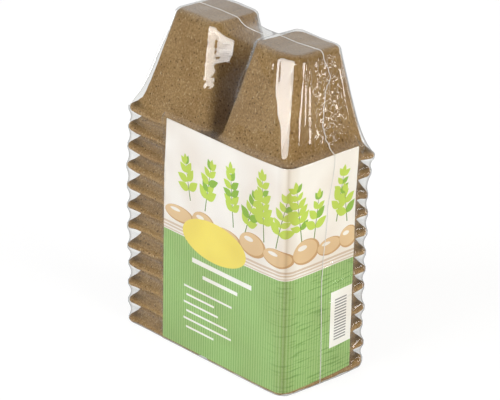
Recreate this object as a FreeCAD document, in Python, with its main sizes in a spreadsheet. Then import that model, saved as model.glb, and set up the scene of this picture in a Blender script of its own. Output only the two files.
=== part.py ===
# Shrink-wrapped pack of square peat pots: two stacks of nested pots standing on their rims,
# a printed card bent round one long face and one end, and a clear film closed over everything.
# Millimetres. +Z is up, X runs along the two stacks, Y across them, and the origin is the
# middle of the film's underside.
import FreeCAD, Part
import Sketcher
import math
import os

doc = FreeCAD.newDocument("peat_pot_pack")

# Driving dimensions, one cell each
sizes = {
    # one pot, upside down as it stands in the pack
    "pot_height": 57.0,
    "rim_width": 60.0,
    "rim_corner_radius": 5.0,
    "lip_height": 2.0,
    "lip_rounding": 0.6,
    "lip_overhang": 3.5,
    "neck_height": 4.5,
    "neck_corner_radius": 5.5,
    "wall_inset": 10.0,
    "base_corner_radius": 6.0,
    "base_edge_radius": 2.5,
    "wall_thickness": 1.7,
    "base_thickness": 2.0,
    # how the pots stand together
    "pots_per_stack": 12,
    "nest_clearance": 0.3,
    "stack_gap": 0.6,
    # the printed card
    "card_thickness": 0.35,
    "card_clearance": 0.15,
    "card_front_length": 90.0,
    "card_end_length": 47.0,
    "card_height": 123.0,
    "card_foot": 0.8,
    # the film and its welded seam
    "film_thickness": 0.2,
    "film_clearance": 0.2,
    "film_rim_clearance": 0.3,
    "film_scallop": 2.0,
    "film_hug": 0.4,
    "film_foot_chamfer": 0.4,
    "tent_step": 4.5,
    "tent_reach": 1.6,
    "card_tent_rise": 9.0,
    "card_tent_bite": 1.0,
    "saddle_dip": 7.0,
    "seam_width": 0.8,
    "seam_proud": 0.35,
}

sheet = doc.addObject("Spreadsheet::Sheet", "Sizes")
for row, (alias, size) in enumerate(sizes.items(), start=1):
    sheet.set(f"A{row}", alias)
    sheet.set(f"B{row}", str(size))
    sheet.setAlias(f"B{row}", alias)
doc.recompute()

# Values that follow from the driving dimensions
derived = {
    # the straight wall leans in from the neck, just above the lip, to the base
    "neck_half": "Sizes.rim_width / 2 - Sizes.lip_overhang",
    "base_half": "Layout.neck_half - Sizes.wall_inset",
    "wall_slope": "Sizes.wall_inset / (Sizes.pot_height - Sizes.neck_height)",
    "wall_angle": "atan(Layout.wall_slope) / 1 deg",
    # wall thickness measured level, across the lean
    "wall_level": "Sizes.wall_thickness / cos(Layout.wall_angle * 1 deg)",
    # the wall's corner grows from the neck's radius to the base's
    "corner_growth": "(Sizes.base_corner_radius - Sizes.neck_corner_radius)"
                     " / (Sizes.pot_height - Sizes.neck_height)",
    # each pot sinks over the one below until their walls are one clearance apart
    "nest_pitch": "(Sizes.wall_thickness + Sizes.nest_clearance) / sin(Layout.wall_angle * 1 deg)",
    "floor_height": "Sizes.film_thickness + Sizes.film_clearance",
    "stack_offset": "(Sizes.rim_width + Sizes.stack_gap) / 2",
    "top_rim": "Layout.floor_height + (Sizes.pots_per_stack - 1) * Layout.nest_pitch",
    "pack_top": "Layout.top_rim + Sizes.pot_height",
    # card faces, measured from a stack's axis
    "card_inner": "Sizes.rim_width / 2 + Sizes.card_clearance",
    "card_outer": "Layout.card_inner + Sizes.card_thickness",
    "card_inner_radius": "Sizes.rim_corner_radius + Sizes.card_clearance",
    "card_outer_radius": "Layout.card_inner_radius + Sizes.card_thickness",
    "card_top": "Sizes.card_foot + Sizes.card_height",
    # inside of the film where it passes over the bare rims, and where it passes over the card
    "film_on_rims": "Sizes.rim_width / 2 + Sizes.film_rim_clearance",
    "film_rim_radius": "Sizes.rim_corner_radius + Sizes.film_rim_clearance",
    "film_on_card": "Layout.card_outer + Sizes.film_clearance",
    "film_card_radius": "Layout.card_outer_radius + Sizes.film_clearance",
    # the film's hood starts half way up the lips of the top pots
    "hood_foot": "Layout.top_rim + Sizes.lip_height / 2",
    # the film dips between the two tops in an arc that springs from the pots' inner edges
    "saddle_half_span": "Layout.stack_offset - Layout.base_half - Sizes.film_hug",
    "saddle_radius": "(Layout.saddle_half_span ^ 2 + Sizes.saddle_dip ^ 2) / (2 * Sizes.saddle_dip)",
}
layout = doc.addObject("App::VarSet", "Layout")
for name in derived:
    layout.addProperty("App::PropertyFloat", name, "Derived")
for name, formula in derived.items():
    layout.setExpression(name, formula)
doc.recompute()

# A rounded edge is drawn in straight steps, each a share of its quarter turn
round_step_shares = (1 / 3, 2 / 3, 1)


def value(formula):
    """What a formula over the sheet and the layout comes to now."""
    return float(layout.evalExpression(formula))


def origin_plane(body, role):
    return next(plane for plane in body.Origin.OriginFeatures if plane.Role == role)


def rounded_rectangle(sketch, width, depth, radius):
    """Draw a rectangle with round corners about the sketch's origin."""
    w, d, r = value(width) / 2, value(depth) / 2, value(radius)
    upward = FreeCAD.Vector(0, 0, 1)
    arcs = []
    for turn, (x, y) in enumerate(((w - r, d - r), (r - w, d - r), (r - w, r - d), (w - r, r - d))):
        circle = Part.Circle(FreeCAD.Vector(x, y, 0), upward, r)
        arcs.append(Part.ArcOfCircle(circle, turn * math.pi / 2, (turn + 1) * math.pi / 2))
    sides = [Part.LineSegment(arcs[k].EndPoint, arcs[(k + 1) % 4].StartPoint) for k in range(4)]
    sketch.addGeometry(arcs + sides)
    rules = []
    for k in range(4):
        rules.append(Sketcher.Constraint("Tangent", k, 2, 4 + k, 1))
        rules.append(Sketcher.Constraint("Tangent", 4 + k, 2, (k + 1) % 4, 1))
    rules += [Sketcher.Constraint("Horizontal", side) for side in (4, 6)]
    rules += [Sketcher.Constraint("Vertical", side) for side in (5, 7)]
    rules += [Sketcher.Constraint("Equal", 0, k) for k in (1, 2, 3)]
    rules.append(Sketcher.Constraint("Symmetric", 0, 3, 2, 3, -1, 1))
    sketch.addConstraint(rules)
    for kind, label, formula, where in (
        ("Radius", "corner", radius, (0, r)),
        ("DistanceX", "across", f"({width}) - 2 * ({radius})", (1, 3, 0, 3, 2 * (w - r))),
        ("DistanceY", "along", f"({depth}) - 2 * ({radius})", (2, 3, 1, 3, 2 * (d - r))),
    ):
        sketch.renameConstraint(sketch.addConstraint(Sketcher.Constraint(kind, *where)), label)
        sketch.setExpression(f"Constraints.{label}", formula)


def wall_half(height):
    """Half the width of a pot's straight wall, at a height above its rim."""
    return f"(Layout.neck_half - Layout.wall_slope * ({height} - Sizes.neck_height))"


def wall_radius(height):
    """The wall's corner radius at a height above the rim."""
    return f"(Sizes.neck_corner_radius + Layout.corner_growth * ({height} - Sizes.neck_height))"


def base_rounding():
    """Height and inset of each step over the base's rounded edge."""
    shoulder = "(Sizes.pot_height - Sizes.base_edge_radius)"
    steps = [(shoulder, "0")]
    for share in round_step_shares:
        rise = f"{math.sin(share * math.pi / 2)} * Sizes.base_edge_radius"
        inset = f"{1 - math.cos(share * math.pi / 2)} * Sizes.base_edge_radius"
        steps.append((f"({shoulder} + {rise})", inset))
    return steps


def body_loft(body, kind, name, sections):
    """Loft a body through level squares, each given as height, half width and corner radius."""
    sketches = []
    for k, (height, half, radius) in enumerate(sections):
        sketch = body.newObject("Sketcher::SketchObject", f"{name}_{k}")
        sketch.AttachmentSupport = [(origin_plane(body, "XY_Plane"), "")]
        sketch.MapMode = "FlatFace"
        sketch.setExpression("AttachmentOffset.Base.z", height)
        rounded_rectangle(sketch, f"2 * {half}", f"2 * {half}", radius)
        sketches.append(sketch)
    feature = body.newObject(f"PartDesign::{kind}Loft", name)
    feature.Profile = sketches[0]
    feature.Sections = sketches[1:]
    feature.Ruled = True


def pot(label, side, level):
    """One moulded pot, upside down: a flared lip below, leaning walls and a closed base above."""
    body = doc.addObject("PartDesign::Body", label)
    body.Label = label
    rim, rim_round = "(Sizes.rim_width / 2)", "Sizes.rim_corner_radius"
    outside = [
        ("0", f"({rim} - Sizes.lip_rounding)", f"{rim_round} - Sizes.lip_rounding"),
        ("Sizes.lip_rounding", rim, rim_round),
        ("Sizes.lip_height", rim, rim_round),
        ("Sizes.neck_height", "Layout.neck_half", "Sizes.neck_corner_radius"),
    ]
    shoulder = "(Sizes.pot_height - Sizes.base_edge_radius)"
    for height, inset in base_rounding():
        outside.append((height, f"({wall_half(shoulder)} - {inset})", f"{wall_radius(shoulder)} - {inset}"))
    body_loft(body, "Additive", "outside", outside)
    doc.recompute()

    # the hollow keeps the wall's thickness, and flares with the lip at its mouth
    inner_neck = "(Sizes.neck_height - Sizes.wall_thickness / 2)"
    ceiling = "(Sizes.pot_height - Sizes.base_thickness)"
    hollow = [("0", f"({rim} - Layout.wall_level)", f"{rim_round} - Layout.wall_level")]
    for height in (inner_neck, ceiling):
        hollow.append((height, f"({wall_half(height)} - Layout.wall_level)",
                       f"{wall_radius(height)} - Layout.wall_level"))
    body_loft(body, "Subtractive", "hollow", hollow)
    body.setExpression("Placement.Base.x", f"{side} * Layout.stack_offset")
    body.setExpression("Placement.Base.z", f"Layout.floor_height + {level} * Layout.nest_pitch")
    return body


def card(label):
    """The printed card: one sheet, bent once round the corner where the front meets the end."""
    body = doc.addObject("PartDesign::Body", label)
    body.Label = label
    sketch = body.newObject("Sketcher::SketchObject", "bent_sheet")
    sketch.AttachmentSupport = [(origin_plane(body, "XY_Plane"), "")]
    sketch.MapMode = "FlatFace"
    sketch.setExpression("AttachmentOffset.Base.z", "Sizes.card_foot")
    end_in = value("Layout.stack_offset + Layout.card_inner")
    front_in = -value("Layout.card_inner")
    thick, bend = value("Sizes.card_thickness"), value("Layout.card_inner_radius")
    end_out, front_out = end_in + thick, front_in - thick
    left = end_out - value("Sizes.card_front_length")
    far = front_out + value("Sizes.card_end_length")
    centre = FreeCAD.Vector(end_in - bend, front_in + bend, 0)
    corners = [
        (left, front_out), (centre.x, front_out), (end_out, centre.y), (end_out, far),
        (end_in, far), (end_in, centre.y), (centre.x, front_in), (left, front_in),
    ]
    points = [FreeCAD.Vector(x, y, 0) for x, y in corners]
    geometry = []
    for k, point in enumerate(points):
        after = points[(k + 1) % len(points)]
        if k in (1, 5):
            reach = bend + thick if k == 1 else bend
            circle = Part.Circle(centre, FreeCAD.Vector(0, 0, 1), reach)
            geometry.append(Part.ArcOfCircle(circle, -math.pi / 2, 0))
        else:
            geometry.append(Part.LineSegment(point, after))
    sketch.addGeometry(geometry)
    # lines 0, 2, 3, 4, 6 and 7 and the two bends 1 and 5, joined in a ring
    joins = [(0, 2, 1, 1), (1, 2, 2, 1), (4, 2, 5, 2), (5, 1, 6, 1)]
    rules = [Sketcher.Constraint("Tangent", *join) for join in joins]
    rules += [Sketcher.Constraint("Coincident", *join) for join in ((2, 2, 3, 1), (3, 2, 4, 1))]
    rules += [Sketcher.Constraint("Coincident", *join) for join in ((6, 2, 7, 1), (7, 2, 0, 1))]
    rules.append(Sketcher.Constraint("Coincident", 1, 3, 5, 3))
    rules += [Sketcher.Constraint("Horizontal", side) for side in (0, 3, 6)]
    rules += [Sketcher.Constraint("Vertical", side) for side in (2, 7)]
    sketch.addConstraint(rules)
    for kind, name, formula, where in (
        ("Radius", "bend", "Layout.card_inner_radius", (5, bend)),
        ("Radius", "outer_bend", "Layout.card_outer_radius", (1, bend + thick)),
        ("DistanceX", "end_face", "Layout.stack_offset + Layout.card_outer", (-1, 1, 2, 2, end_out)),
        ("DistanceY", "front_face", "Layout.card_outer", (0, 1, -1, 1, -front_out)),
        ("DistanceX", "front_length", "Sizes.card_front_length", (0, 1, 2, 1, end_out - left)),
        ("DistanceY", "end_length", "Sizes.card_end_length", (0, 1, 2, 2, far - front_out)),
    ):
        sketch.renameConstraint(sketch.addConstraint(Sketcher.Constraint(kind, *where)), name)
        sketch.setExpression(f"Constraints.{name}", formula)
    pad = body.newObject("PartDesign::Pad", "sheet")
    pad.Profile = sketch
    pad.setExpression("Length", "Sizes.card_height")
    return body


def level_loft(name, offset, sections):
    """A solid through level rectangles round both stacks, each spread by the offset."""
    sketches = []
    for k, (height, half, radius) in enumerate(sections):
        sketch = doc.addObject("Sketcher::SketchObject", f"{name}_{k}")
        sketch.setExpression("Placement.Base.z", height)
        across = f"2 * (Layout.stack_offset + {half} + {offset})"
        rounded_rectangle(sketch, across, f"2 * ({half} + {offset})", f"({radius} + {offset})")
        sketches.append(sketch)
    loft = doc.addObject("Part::Loft", name)
    loft.Sections = sketches
    loft.Solid = True
    loft.Ruled = True
    return loft


def wrap_sections(offset, foot):
    """The film round the bare pots: tight over each rim, drawn in between, then up the top walls."""
    on_rims, rim_round = "Layout.film_on_rims", "Layout.film_rim_radius"
    sections = [
        (foot, f"({on_rims} - Sizes.film_foot_chamfer)", f"{rim_round} - Sizes.film_foot_chamfer"),
        (f"{foot} + Sizes.film_foot_chamfer", on_rims, rim_round),
    ]
    for level in range(int(value("Sizes.pots_per_stack"))):
        rim = f"(Layout.floor_height + {level} * Layout.nest_pitch)"
        if level:
            sections.append((
                f"{rim} - (Layout.nest_pitch - Sizes.lip_height) / 2",
                f"({on_rims} - Sizes.film_scallop)", f"{rim_round} - Sizes.film_scallop",
            ))
            sections.append((rim, on_rims, rim_round))
        sections.append((f"{rim} + Sizes.lip_height", on_rims, rim_round))
    # above the top rim the film closes on the leaning walls and follows them up
    for steps, reach in ((1, "Sizes.tent_reach"), (2, "Sizes.tent_reach / 2")):
        height = f"(Sizes.lip_height + {steps} * Sizes.tent_step)"
        sections.append((f"Layout.top_rim + {height}", f"({wall_half(height)} + {reach})",
                         f"{wall_radius(height)} + {reach}"))
    shoulder = "(Sizes.pot_height - Sizes.base_edge_radius)"
    for height, inset in base_rounding():
        lift = "0" if inset == "0" else f"Sizes.film_hug + {offset}"
        sections.append((
            f"Layout.top_rim + {height} + {lift}",
            f"({wall_half(shoulder)} - {inset} + Sizes.film_hug)",
            f"{wall_radius(shoulder)} - {inset} + Sizes.film_hug",
        ))
    return sections


def card_sections(foot):
    """The film stretched over the card, which bridges the rims, and on to the wall above it."""
    over, over_round = "Layout.film_on_card", "Layout.film_card_radius"
    top = "(Layout.card_top + Sizes.film_clearance)"
    height = f"({top} + Sizes.card_tent_rise - Layout.top_rim)"
    return [
        (foot, f"({over} - Sizes.film_foot_chamfer)", f"{over_round} - Sizes.film_foot_chamfer"),
        (f"{foot} + Sizes.film_foot_chamfer", over, over_round),
        (top, over, over_round),
        (f"{top} + Sizes.card_tent_rise", f"({wall_half(height)} - Sizes.card_tent_bite)",
         f"{wall_radius(height)} - Sizes.card_tent_bite"),
    ]


def film_block(name, offset, foot):
    """The wrapped pack as one solid, its surface the given offset outside the film's inside."""
    over_card = level_loft(f"{name}_over_card", offset, card_sections(foot))
    zone = doc.addObject("Part::Box", f"{name}_card_zone")
    margin = f"(Sizes.film_clearance + {offset})"
    front_edge = f"(Layout.stack_offset + Layout.card_outer - Sizes.card_front_length - {margin})"
    zone.setExpression("Placement.Base.x", front_edge)
    zone.setExpression("Placement.Base.y", "-Sizes.rim_width")
    zone.setExpression("Length", "4 * Sizes.rim_width")
    zone.setExpression("Width", f"Sizes.rim_width - Layout.card_outer + Sizes.card_end_length + {margin}")
    zone.setExpression("Height", "2 * Layout.pack_top")
    patch = doc.addObject("Part::Common", f"{name}_card_patch")
    patch.Base = over_card
    patch.Tool = zone
    joined = doc.addObject("Part::Fuse", f"{name}_joined")
    joined.Base = level_loft(f"{name}_wrap", offset, wrap_sections(offset, foot))
    joined.Tool = patch

    dip = doc.addObject("Part::Cylinder", f"{name}_dip")
    dip.setExpression("Radius", f"Layout.saddle_radius + Sizes.film_thickness - {offset}")
    dip.setExpression("Height", "Sizes.rim_width")
    dip.Placement.Rotation = FreeCAD.Rotation(FreeCAD.Vector(1, 0, 0), 90)
    dip.setExpression("Placement.Base.y", "Sizes.rim_width / 2")
    dip.setExpression("Placement.Base.z", "Layout.pack_top + Sizes.film_hug + Sizes.film_thickness"
                      " - Sizes.saddle_dip + Layout.saddle_radius")
    block = doc.addObject("Part::Cut", name)
    block.Base = joined
    block.Tool = dip
    return block


def film_parts(outside):
    """The clear film, one closed skin, as three nodes that meet edge to edge."""
    skin = doc.addObject("Part::Cut", "film_skin")
    skin.Base = outside
    skin.Tool = film_block("film_inside", "0", "Sizes.film_thickness")
    parts = []
    for label, low, high in (
        ("film_underside", "0", "Sizes.film_thickness"),
        ("film_sides", "Sizes.film_thickness", "Layout.hood_foot"),
        ("film_hood", "Layout.hood_foot", "2 * Layout.pack_top"),
    ):
        zone = doc.addObject("Part::Box", f"{label}_zone")
        for size, place in (("Length", "x"), ("Width", "y")):
            zone.setExpression(size, "4 * Sizes.rim_width")
            zone.setExpression(f"Placement.Base.{place}", "-2 * Sizes.rim_width")
        zone.setExpression("Height", f"{high} - {low}")
        zone.setExpression("Placement.Base.z", low)
        part = doc.addObject("Part::Common", label)
        part.Label = label
        part.Base = skin
        part.Tool = zone
        parts.append(part)
    return parts


def seam(label, outside):
    """The weld where the film's two edges meet: a bead up one end, over the tops and down the other."""
    band = doc.addObject("Part::Box", "seam_band")
    band.setExpression("Length", "4 * Sizes.rim_width")
    band.setExpression("Width", "Sizes.seam_width")
    band.setExpression("Height", "2 * Layout.pack_top")
    band.setExpression("Placement.Base.x", "-2 * Sizes.rim_width")
    band.setExpression("Placement.Base.y", "-Sizes.seam_width / 2")
    band.setExpression("Placement.Base.z", "Sizes.film_foot_chamfer")
    ridge = doc.addObject("Part::Common", "seam_ridge")
    ridge.Base = film_block("seam_outside", "(Sizes.film_thickness + Sizes.seam_proud)", "0")
    ridge.Tool = band
    bead = doc.addObject("Part::Cut", label)
    bead.Label = label
    bead.Base = ridge
    bead.Tool = outside
    return bead


pieces = []
for side_name, side in (("left", -1), ("right", 1)):
    for level in range(int(value("Sizes.pots_per_stack"))):
        pieces.append(pot(f"pot_{side_name}_{level + 1:02d}", side, level))
pieces.append(card("label_card"))
film_outside = film_block("film_outside", "Sizes.film_thickness", "0")
pieces += film_parts(film_outside)
pieces.append(seam("film_seam", film_outside))
doc.recompute()

for item in doc.Objects:
    if "Invalid" in item.State or "Error" in item.State:
        raise RuntimeError(f"{item.Name} did not compute: {item.State}")
os.makedirs("parts", exist_ok=True)
for piece in pieces:
    if piece.Shape.isNull() or not piece.Shape.isValid():
        raise RuntimeError(f"{piece.Label} has no valid solid")
    piece.Shape.exportStep(f"parts/{piece.Label}.step")
    box = piece.Shape.BoundBox
    print(f"{piece.Label}: {len(piece.Shape.Solids)} solid, {piece.Shape.Volume:.0f} mm3,"
          f" z {box.ZMin:.2f} to {box.ZMax:.2f}")
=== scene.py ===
import math
import random
from functools import partial

import bpy
import numpy as np
from mathutils import Matrix, Vector, noise
from mathutils.geometry import delaunay_2d_cdt


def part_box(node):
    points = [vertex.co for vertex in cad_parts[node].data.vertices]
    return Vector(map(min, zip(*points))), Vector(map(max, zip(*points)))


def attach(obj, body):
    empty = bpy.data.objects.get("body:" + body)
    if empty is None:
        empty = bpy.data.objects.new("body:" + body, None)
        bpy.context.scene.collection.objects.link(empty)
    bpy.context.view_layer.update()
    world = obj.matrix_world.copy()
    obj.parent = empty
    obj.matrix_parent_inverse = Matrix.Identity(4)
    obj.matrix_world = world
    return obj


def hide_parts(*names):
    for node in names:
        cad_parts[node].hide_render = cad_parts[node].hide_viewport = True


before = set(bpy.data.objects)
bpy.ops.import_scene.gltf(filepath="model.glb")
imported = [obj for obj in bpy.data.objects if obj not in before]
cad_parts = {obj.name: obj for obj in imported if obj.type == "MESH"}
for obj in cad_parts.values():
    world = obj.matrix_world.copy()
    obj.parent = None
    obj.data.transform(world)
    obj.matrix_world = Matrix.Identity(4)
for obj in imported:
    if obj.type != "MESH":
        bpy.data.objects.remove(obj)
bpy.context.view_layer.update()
mm = 0.001
diagonal = math.sqrt(0.5)


def boxOf(node):
    # the low and high corner of a CAD node, in mm
    return [[value / mm for value in corner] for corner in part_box(node)]


# the two stacks of pots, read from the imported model
potNames = {side: [f"pot_{side}_{level:02d}" for level in range(1, 13)] for side in ("left", "right")}
leftLow, leftHigh = boxOf("pot_left_01")
rightLow, rightHigh = boxOf("pot_right_01")
topLow, topHigh = boxOf("pot_left_12")
pack = {
    "stackX": (rightLow[0] + rightHigh[0]) / 2,
    "rimHalf": (leftHigh[0] - leftLow[0]) / 2,
    "floor": leftLow[2],
    "potHeight": leftHigh[2] - leftLow[2],
    "pitch": boxOf("pot_left_02")[0][2] - leftLow[2],
    "topRim": topLow[2],
    "top": topHigh[2],
}
cardLow, cardHigh = (Vector(corner) for corner in boxOf("label_card"))
print("frame loaded, pack", {key: round(value, 2) for key, value in pack.items()})

# how far each outer corner's rims stand out and lift, lowest pot first, in mm: the film has
# crushed some corners and pulled others up or down
unevenRims = {
    (-1, -1): ([0.6, 1.0, 1.1, 1.0, 1.6, 1.8, 1.9, 2.0, 2.3, 1.8, 1.5, 1.3],
               [0.2, 0.1, -0.3, 0.2, -0.9, 0.1, 0.8, 1.1, 1.6, 2.3, 2.4, 1.8]),
    (1, 1): ([-1.1, -0.8, -1.6, -1.0, -1.7, -1.4, -1.5, -1.2, -1.4, -1.8, -0.5, 0.8],
             [2.4, 1.3, 1.6, -0.2, 1.2, 0.0, -1.6, -1.1, -1.3, -2.0, 0.2, -2.0]),
    (1, -1): ([-0.8, -1.0, -0.9, -1.1, -0.8, -1.2, -1.0, -0.9, -1.1, -1.0, -0.9, -0.8],
              [0.2, 0.5, -0.3, 0.2, -0.4, 0.3, 0.1, -0.5, 0.4, -0.2, 0.3, 0.2]),
    (-1, 1): ([-0.6, 0.5, -0.9, 0.3, 0.8, -0.4, 0.6, -1.0, 0.2, 0.9, -0.5, 0.6],
              [0.4, -0.8, 0.9, -0.5, 1.0, -1.2, 0.3, 0.8, -0.9, 0.5, -0.4, 1.1]),
}
settling = {
    "lipMiddle": 1.5, "cornerReach": 11.0,     # each lip's shift fades out away from its corner
    "fadeFrom": 3.0, "fadeAbove": 9.0,         # and above the top rims
    "footFixed": 0.5, "footFade": 2.0,         # nothing is lifted off the floor
    "leanFrom": 4.0, "leanLeft": 2.8, "leanRight": 2.0, "sinkRight": 2.1,
}


def clamp(value, low=0.0, high=1.0):
    return min(high, max(low, value))


def smoothStep(low, high, value):
    share = clamp((value - low) / (high - low))
    return share * share * (3 - 2 * share)


def within(value, low, high, rise, fall):
    # 1 between low and high, fading in and out inside them
    return smoothStep(low, low + rise, value) * smoothStep(high, high - fall, value)


def hump(value, middle, width):
    return math.exp(-((value - middle) / width) ** 2)


def noiseAt(*place):
    return noise.noise(Vector(place))


def settle(point):
    # the same small shifts for pots, card and film, so that they keep their distances
    form = settling
    x, y, z = point
    side = (1 if x > 0 else -1, 1 if y > 0 else -1)
    out, lift = unevenRims[side]
    away = math.hypot(abs(x) - pack["stackX"] - pack["rimHalf"], abs(y) - pack["rimHalf"])
    near = hump(away, 0, form["cornerReach"])
    if near > 0.002:
        level = (z - pack["floor"] - form["lipMiddle"]) / pack["pitch"]
        below = int(clamp(math.floor(level), 0, 10))
        part = smoothStep(0, 1, level - below)
        foot = clamp((z - form["footFixed"]) / form["footFade"])
        near *= hump(max(0.0, z - pack["topRim"] - form["fadeFrom"]), 0, form["fadeAbove"])
        outward = (out[below] * (1 - part) + out[below + 1] * part) * near * diagonal
        x += side[0] * outward
        y += side[1] * outward
        z += (lift[below] * (1 - part) + lift[below + 1] * part) * near * foot
    lean = max(0.0, (z - pack["topRim"] - form["leanFrom"]) / pack["potHeight"])
    across = clamp(x / 2 / pack["stackX"] + 0.5)
    shift = lean * (form["leanLeft"] * (1 - across) + form["leanRight"] * across) * diagonal
    return (x + shift, y + shift, z - form["sinkRight"] * across * max(0.0, z) / pack["top"])


# small helpers for modelling and nodes

def deselectAll():
    if bpy.context.mode != "OBJECT":
        bpy.ops.object.mode_set(mode="OBJECT")
    bpy.ops.object.select_all(action="DESELECT")


def activate(piece):
    deselectAll()
    piece.select_set(True)
    bpy.context.view_layer.objects.active = piece


def newObject(name, data):
    made = bpy.data.objects.new(name, data)
    bpy.context.collection.objects.link(made)
    return made


def rolledSheet(name, around, rings):
    # a flat grid whose columns run round the piece and whose rows are its rings, to be rolled up
    deselectAll()
    bpy.ops.mesh.primitive_grid_add(x_subdivisions=around, y_subdivisions=rings - 1, size=1.0)
    sheet = bpy.context.object
    sheet.name = name
    coords = pointsOf(sheet) * mm + 0.5
    columns = np.round(coords[:, 0] * around).astype(int) % around
    return sheet, columns, np.round(coords[:, 1] * (rings - 1)).astype(int)


def pointsOf(piece):
    # the points of a mesh, in mm
    coords = np.empty(len(piece.data.vertices) * 3)
    piece.data.vertices.foreach_get("co", coords)
    return coords.reshape(-1, 3) / mm


def writeShape(piece, coords):
    piece.data.vertices.foreach_set("co", np.asarray(coords, dtype=np.float64).ravel() * mm)
    piece.data.update()


def closeAndTurnOut(piece, distance=0.01, capEnds=False):
    activate(piece)
    bpy.ops.object.mode_set(mode="EDIT")
    bpy.ops.mesh.select_all(action="SELECT")
    if distance:
        bpy.ops.mesh.remove_doubles(threshold=distance * mm)
    if capEnds:
        bpy.ops.mesh.fill_holes(sides=0)
    bpy.ops.mesh.normals_make_consistent(inside=False)
    bpy.ops.object.mode_set(mode="OBJECT")
    bpy.ops.object.shade_smooth()


roundCorners = {"backRight": (1, 1, 0), "backLeft": (-1, 1, 90),
                "frontLeft": (-1, -1, 180), "frontRight": (1, -1, 270)}


def roundPlaces(steps, cornerSteps):
    # the places round a rounded rectangle, each a side or corner and a share of it
    places = []
    for side in ("right", "backRight", "back", "backLeft", "left", "frontLeft", "front", "frontRight"):
        count = steps.get(side, cornerSteps)
        places += [(side, k / count) for k in range(count)]
    return places


def planPoint(place, halfX, halfY, radius):
    # a point of a rounded rectangle and the direction out of it
    side, share = place
    if side in roundCorners:
        signX, signY, start = roundCorners[side]
        turn = math.radians(start + 90 * share)
        outX, outY = math.cos(turn), math.sin(turn)
        return signX * (halfX - radius) + radius * outX, signY * (halfY - radius) + radius * outY, outX, outY
    sign = 1 if side in ("right", "back") else -1
    if side in ("right", "left"):
        return sign * halfX, sign * (halfY - radius) * (2 * share - 1), float(sign), 0.0
    return sign * (halfX - radius) * (1 - 2 * share), sign * halfY, 0.0, float(sign)


def ridePack(piece, material, slot, *nodes):
    # the finish of a piece, and its place in the frame
    piece.data.materials.append(material)
    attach(piece, "root")
    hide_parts(*nodes)


def hexColour(code, alpha=1.0):
    # sRGB hex to Blender's linear colour
    channels = [int(code[k:k + 2], 16) / 255 for k in (1, 3, 5)]
    linear = [c / 12.92 if c <= 0.04045 else ((c + 0.055) / 1.055) ** 2.4 for c in channels]
    return (*linear, alpha)


def addNode(tree, kind, settings=None, links=None):
    # one node with its settings, by attribute or by socket: hex values are colours, and stops
    # are a colour ramp's; in its links a node stands for its output in use
    node = tree.nodes.new("ShaderNode" + kind)

    def socket(key):
        # a Mix node has several sockets of one name, of which the one in use is taken
        if isinstance(key, int):
            return node.inputs[key]
        return next(entry for entry in node.inputs if entry.name == key and entry.enabled)

    for key, value in (settings or {}).items():
        if isinstance(value, str) and value.startswith("#"):
            value = hexColour(value)
        if key == "stops":
            elements = node.color_ramp.elements
            while len(elements) < len(value):
                elements.new(0.5)
            for element, (position, colour) in zip(elements, value):
                element.position = position
                element.color = hexColour(colour)
        elif isinstance(key, str) and hasattr(node, key):
            setattr(node, key, value)
        else:
            socket(key).default_value = value
    for key, source in (links or {}).items():
        if isinstance(source, bpy.types.Node):
            source = next(entry for entry in source.outputs if entry.enabled)
        tree.links.new(source, socket(key))
    return node


colourMix = {"data_type": "RGBA"}
colourMultiply = {"data_type": "RGBA", "blend_type": "MULTIPLY", "Factor": 1.0}
multiply = {"operation": "MULTIPLY"}
black, white = "#000000", "#FFFFFF"


def newMaterial(name):
    # an empty material, and what adds nodes to it
    material = bpy.data.materials.new(name)
    material.use_nodes = True
    material.node_tree.nodes.clear()
    return material, partial(addNode, material.node_tree)


# the camera, found by matching rims, pot tops and card edges of the model to the photograph
cameraView = {"azimuth": 47.1, "elevation": 22.56, "roll": 1.39, "distance": 1305.0,
              "aimRight": 0.77, "aimUp": 9.64, "aimHeight": 70.0,
              "focalPixels": 2551.0, "photoPixels": 500, "sensorWidth": 36}


def directionTo(azimuth, elevation):
    # in degrees; azimuth 0 is on the front face's side, 90 on the right end's
    turn, rise = math.radians(azimuth), math.radians(elevation)
    return Vector((math.sin(turn) * math.cos(rise), -math.cos(turn) * math.cos(rise), math.sin(rise)))


def makeCamera():
    form = cameraView
    back = directionTo(form["azimuth"], form["elevation"])
    right = directionTo(form["azimuth"] + 90, 0)
    up = back.cross(right)
    place = right * form["aimRight"] + up * form["aimUp"] + back * form["distance"]
    place.z += form["aimHeight"]
    roll = math.radians(form["roll"])
    turnedRight = right * math.cos(roll) + up * math.sin(roll)
    turnedUp = up * math.cos(roll) - right * math.sin(roll)
    data = bpy.data.cameras.new("photoCamera")
    data.sensor_width = form["sensorWidth"]
    data.lens = form["focalPixels"] / form["photoPixels"] * data.sensor_width
    data.clip_start = 0.05
    camera = newObject("photoCamera", data)
    turn = Matrix((turnedRight, turnedUp, back)).transposed().to_4x4()
    camera.matrix_world = Matrix.Translation(place * mm) @ turn
    bpy.context.scene.camera = camera


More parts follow.
